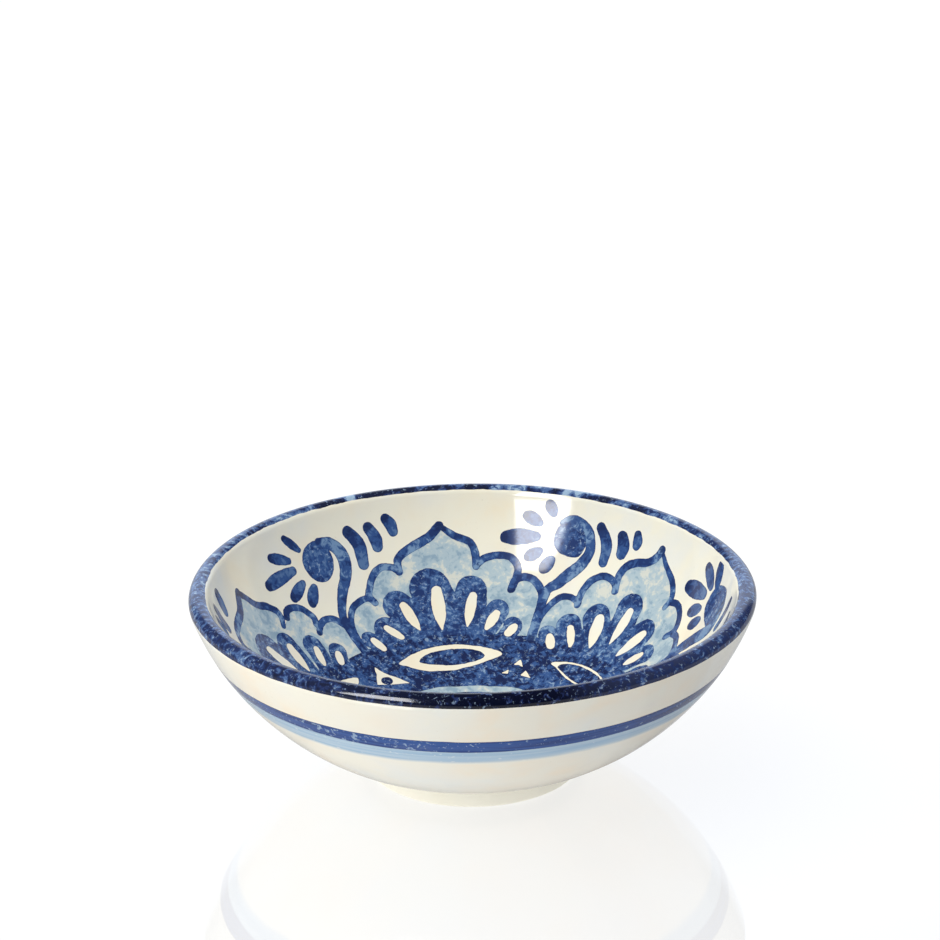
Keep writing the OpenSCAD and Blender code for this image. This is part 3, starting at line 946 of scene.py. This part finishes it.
def build_bowl():
    lip_top = LIP_START + LIP_R * INNER_PHI
    foot_t = outside_length(under_height(FOOT_R))
    claim(lathe("clay_wall", clay_outline()), bare_clay("clay", colour(222, 205, 172), colour(196, 174, 138)),
          "clay", "clay_body")
    claim(lathe("foot", foot_outline()),
          glaze("foot_glaze", colour(238, 234, 218), colour(236, 231, 213), colour(240, 236, 222), 0.5),
          "foot_clay", "foot_ring")
    claim(coat("glaze_inside", 0.0, lip_top, 190),
          glaze("cream_inside", CREAM_IN, colour(230, 229, 220), colour(238, 227, 202)),
          "cream_glaze_inside", "inner_glaze")
    claim(coat("glaze_outside", lip_top, foot_t, 130),
          glaze("cream_outside", CREAM_OUT, colour(226, 227, 221), colour(236, 224, 203)),
          "cream_glaze_outside", "outer_glaze")


# The rim's paint: angle, how light it is, how strong its long patches are, how grey its darkest parts are
# Lightness and greyness rise from the front (270°), which faces the camera, to the sides, seen edge-on:
# painted reflection over the paint's own dabs and patches
RIM_TONES_AND_SHEEN = [
    (0, 0.4, 0.25, 0.9), (35, 0.35, 0.6, 0.5), (60, 0.2, 1.6, 0.3), (90, 0.3, 2.0, 0.3), (125, 0.1, 1.8, 0.3),
    (150, 0.1, 0.8, 0.5), (180, 0.45, 0.2, 0.9), (205, 0.2, 0.2, 0.6), (228, -0.15, 0.3, 0.4),
    (250, -0.5, 0.3, 0.2), (270, -0.9, 0.2, 0.0), (286, -0.9, 0.2, 0.0), (300, -0.4, 0.2, 0.6),
    (320, -0.2, 0.1, 0.9), (342, 0.1, 0.1, 1.0), (360, 0.4, 0.25, 0.9),
]
# How far past the lip's outermost point the rim's paint ends at the front, in degrees of the bead
BAND_END = 4.0


def crisp(a, seed):
    """The small waver of an edge turned on the wheel."""
    return 0.12 * np.sin(np.radians(4 * a + seed)) + 0.12 * broad(a, a * 0 + seed, 4.0)


def build_bands():
    angles, *kinds = zip(*RIM_TONES_AND_SHEEN)
    # The rim's tone, long patches and grey share by angle; the lighter, greyer sides are painted reflection
    round_rim = {key: lambda a, kind=kind: np.interp(a, angles, kind)
                 for key, kind in zip(("tone", "patch", "slate_and_sheen"), kinds)}
    ragged = lambda a: (-0.5 * np.cos(np.radians(a - 20)) + 0.2 * broad(a * 2, a * 0, 5.0)
                        + 0.12 * fine(a * 2, a * 0 + 9, 1.6))
    band_end = LIP_START + LIP_R * (math.pi / 2 + INNER_PHI + math.radians(BAND_END))
    outer_edge = lambda a: band_end - 0.9 * (1 - np.cos(np.radians(a - 278))) / 2 + crisp(a, 5)
    rim = strip("rim_paint", lambda a: LIP_START + 1.9 + ragged(a), outer_edge, 0.06, 34, round_rim)
    claim(rim, rim_look(), "rim_cobalt", "rim_band")
    top, middle, bottom = (outside_length(z) for z in (line_high.z, line_low.z, wash_low.z))
    line = strip("line_paint", lambda a: top + crisp(a, 40), lambda a: middle + crisp(a, 90), 0.06, 16,
                 {"fleck": lambda a: np.exp(-((a - 246) / 22) ** 2) + 0.25})
    claim(line, line_look(), "line_cobalt", "outer_line")
    # The wash starts 4 mm up under the line, and runs down further at the front left
    wash = strip("line_wash_paint", lambda a: middle - 4.0 + crisp(a, 90),
                 lambda a: bottom + 1.3 + 1.3 * np.exp(-((a - 232) / 24) ** 2) + 2 * crisp(a, 140), 0.03, 16)
    claim(wash, turned_wash(), "wash_blue_outside", "outer_wash")


def build_painting():
    petals, domes = paint_petals()
    wash = paint_wash(domes)
    lines = [(turned(line, at), widths) for at, strokes, _ in FLOWERS for line, widths in strokes]
    lines = paint_marks(lines, 0.06, 0.18, under=True)
    ground = paint_ground()
    eyes = [(turned(THIN_EYE if k % 2 else EYE, at), None) for k, (at, _, _) in enumerate(FLOWERS)]
    eyes = paint_marks(eyes, 0.05)
    dots = paint_marks([(turned([(1.0, 60.1), (-0.2, 59.7)], at), [2.2, 2.3]) for at in STARS], 0.055)
    centre, ring = paint_centre()
    stems = [(turned(stem, at), widths) for at, (stem, widths), *_ in SCROLLS]
    stems = paint_marks(stems, 0.065, 0.18, under=True)
    heads = paint_marks([(turned(head, at), None) for at, _, head, _, _ in SCROLLS], 0.052)
    dabs = paint_marks(scroll_dabs(), 0.055, 0.2)
    leaves = paint_marks(scroll_leaves(), 0.055, 0.18)
    marks = [
        (petals, "petal_paint", sponged, (NAVY, PETAL_BLUE, STEEL, 0.02), "petal_cobalt", "petal_strokes"),
        (wash, "flower_wash_paint", watery, (), "wash_blue_inside", "flower_wash"),
        (lines, "flower_line_paint", brushed, (NAVY, COBALT, STEEL, 0.05),
         "outline_cobalt", "flower_outline"),
        (ground, "ground_paint", sponged, (DEEP, COBALT, MID_BLUE), "ground_cobalt", "ground_ring"),
        (eyes, "eye_paint", sponged, (DEEP, COBALT, MID_BLUE, -0.04), "eye_cobalt", "eye_spots"),
        (dots, "dot_paint", sponged, (DEEP, NAVY, COBALT, -0.1), "dot_cobalt", "star_dots"),
        (centre, "centre_paint", sponged, (DEEP, COBALT, MID_BLUE), "centre_cobalt", "centre_disc"),
        (ring, "centre_wash_paint", watery, (), "centre_blue", "centre_wash"),
        (stems, "stem_paint", brushed, (NAVY, COBALT, STEEL, 0.03), "stem_cobalt", "scroll_stems"),
        (heads, "head_paint", sponged, (NAVY, COBALT, MID_BLUE, 0.04), "head_cobalt", "scroll_heads"),
        (dabs, "dab_paint", brushed, (NAVY, COBALT, MID_BLUE, 0.10), "dab_cobalt", "petal_dabs"),
        (leaves, "leaf_paint", brushed, (NAVY, COBALT, MID_BLUE, 0.12), "leaf_cobalt", "leaf_strokes"),
    ]
    for layer, name, look, shades, slot, node in marks:
        claim(layer.build(name), look(slot, *shades), slot, node)


# ---------------- floor, light and camera
#
# Lengths are in metres from here on.

FLOOR_SIZE, FLOOR_SHIFT = 14, 2.0
# What the floor throws on the bowl from its left, right, back and from close by
FLOOR_LEFT, FLOOR_RIGHT, FLOOR_BACK, FLOOR_NEAR = 1.03, 0.52, 1.1, 0.42
# How white it looks, and how bright it is in the glaze
FLOOR_WHITE, FLOOR_SHINE = 0.8, 0.35
FLOOR_GREY = (0.2, 0.2, 0.2, 1)
# Where its sides pass into each other, and where the part close by ends
SIDE_FADE = (-0.15, 0.15)
NEAR_FADE = (0.26, 0.12)
# How strong and how rough its mirror is, and where that fades in front of the bowl and behind it
MIRROR_SHARE, MIRROR_ROUGH = 0.22, 0.02
MIRROR_FRONT, MIRROR_BACK = (-0.42, -0.16), (0.12, -0.06)
# The sky's strength at the horizon, and what comes to it from above, the left and the back
SKY_LEVEL, SKY_TOP, SKY_LEFT, SKY_BACK = 0.16, 1.34, 0.46, 0.22
SKY_COOL, SKY_WARM = (0.78, 0.93, 1.22, 1), (1.02, 1.0, 0.955, 1)
# The backdrop for the camera and in the glaze, how far back it begins and is full, and the dark room
BACKDROP_SEEN, BACKDROP_SHINE = 1.1, 1.15
BACKDROP_START, BACKDROP_FULL = 0.8, 0.86
STUDIO_DARK = 0.06
GLOW_PLACE, GLOW_TURN = (-0.5415, -0.6878, 0.8520), (1.8749, -0.1364, -0.4435)
GLOW_SIZE, GLOW_WATTS = (0.354, 1.164), 17
KEY_WAY, KEY_REACH, KEY_SIZE, KEY_WATTS = (-0.62, -0.5, 0.6), 1.5, (1.3, 1.3), 10.4
KEY_COLOUR = (1.0, 0.92, 0.7)
LENS, SENSOR = 100, 36
AIM, REACH = (-0.00064, 0, 0.13931), 1.138
ELEVATION, ROLL = math.radians(20.04), math.radians(-0.43)


def build_floor():
    """A white table top with a fading mirror. It lights the bowl most from the left and the back."""
    bpy.ops.mesh.primitive_plane_add(size=FLOOR_SIZE, location=(0, FLOOR_SHIFT, 0))
    floor = bpy.context.object
    floor.name = "floor"
    g = Graph("floor", roughness=0.9, specular=0.0)
    split = g.add("SeparateXYZ", {0: g.place})
    x, y = split["X"], g.math("ADD", split["Y"], FLOOR_SHIFT)
    away = g.math("SQRT", g.times(x, x, g.times(y, y)))
    bounce = g.times(g.step(x, *SIDE_FADE), FLOOR_RIGHT - FLOOR_LEFT, FLOOR_LEFT)
    bounce = g.times(g.math("SUBTRACT", FLOOR_BACK, bounce), g.step(y, *SIDE_FADE), bounce)
    bounce = g.times(g.step(away, *NEAR_FADE), FLOOR_NEAR, bounce)
    rays = g.add("LightPath", {})
    glow = g.times(rays["Is Camera Ray"], FLOOR_WHITE)
    glow = g.times(bounce, rays["Is Diffuse Ray"], glow)
    glow = g.times(rays["Is Glossy Ray"], FLOOR_SHINE, glow)
    g.link(glow, g.shader.inputs["Emission Strength"])
    g.link((1, 1, 1, 1), g.shader.inputs["Emission Color"])
    g.finish(FLOOR_GREY)
    mirror = g.add("BsdfGlossy", {"Roughness": MIRROR_ROUGH})
    near = g.times(g.step(y, *MIRROR_FRONT), g.step(y, *MIRROR_BACK))
    share = g.times(near, MIRROR_SHARE)
    both = g.add("MixShader", {0: share, 1: g.shader.outputs[0], 2: mirror[0]})
    g.link(both[0], g.tree.nodes["Material Output"].inputs["Surface"])
    floor.data.materials.append(g.material)


def build_world():
    """Light from above, warmer there than at the horizon, with more from the left and the back.

    Glossy surfaces see a dim room with a white backdrop.
    """
    world = bpy.data.worlds.new("studio")
    bpy.context.scene.world = world
    world.use_nodes = True
    w = Nodes(world.node_tree)
    rays = w.add("LightPath", {})
    way = w.add("SeparateXYZ", {0: w.add("TexCoord", {})["Generated"]})
    behind = w.add("MapRange", {"Value": way["Y"], "From Min": BACKDROP_START, "From Max": BACKDROP_FULL,
                                "To Min": STUDIO_DARK, "To Max": BACKDROP_SHINE})["Result"]
    height = w.math("MAXIMUM", way["Z"], 0.0)
    sky = w.times(height, SKY_TOP, SKY_LEVEL)
    sky = w.times(w.math("MINIMUM", way["X"], 0.0), -SKY_LEFT, sky)
    sky = w.times(w.math("MAXIMUM", way["Y"], 0.0), SKY_BACK, sky)
    seen = w.choose(rays["Is Camera Ray"], sky, BACKDROP_SEEN)
    background = world.node_tree.nodes["Background"].inputs
    w.link(w.choose(rays["Is Glossy Ray"], seen, behind), background["Strength"])
    w.link(w.mix(w.math("MAXIMUM", height, rays["Is Camera Ray"]), SKY_COOL, SKY_WARM), background["Color"])


def soft_box(name, location, turn, size, watts):
    """A rectangular light."""
    light = bpy.data.lights.new(name, "AREA")
    light.shape = "RECTANGLE"
    light.size, light.size_y = size
    light.energy = watts
    lamp = add_object(name, light)
    lamp.location = location
    lamp.rotation_euler = turn
    return lamp


def build_lights():
    """A leaning soft box that is only seen in the glaze, and a key from the left that lights the clay."""
    glow = soft_box("key_glow", GLOW_PLACE, GLOW_TURN, GLOW_SIZE, GLOW_WATTS)
    glow.visible_diffuse = False
    away = Vector(KEY_WAY).normalized()
    key = soft_box("key", away * KEY_REACH, away.to_track_quat("Z", "Y").to_euler(), KEY_SIZE, KEY_WATTS)
    key.data.color = KEY_COLOUR
    key.visible_glossy = False


def build_camera():
    data = bpy.data.cameras.new("camera")
    data.lens = LENS
    data.sensor_width = SENSOR
    data.clip_start = 0.05
    camera = add_object("camera", data)
    aim = Vector(AIM)
    camera.location = aim + Vector((0, -math.cos(ELEVATION), math.sin(ELEVATION))) * REACH
    forward = (aim - camera.location).normalized()
    right = Vector((1, 0, 0))
    up = right.cross(forward)
    right, up = right * math.cos(ROLL) + up * math.sin(ROLL), up * math.cos(ROLL) - right * math.sin(ROLL)
    camera.rotation_euler = Matrix((right, up, -forward)).transposed().to_euler()
    bpy.context.scene.camera = camera


bpy.context.scene.view_settings.view_transform = "Standard"
build_camera()
build_world()
build_lights()
build_floor()
build_bowl()
build_bands()
build_painting()
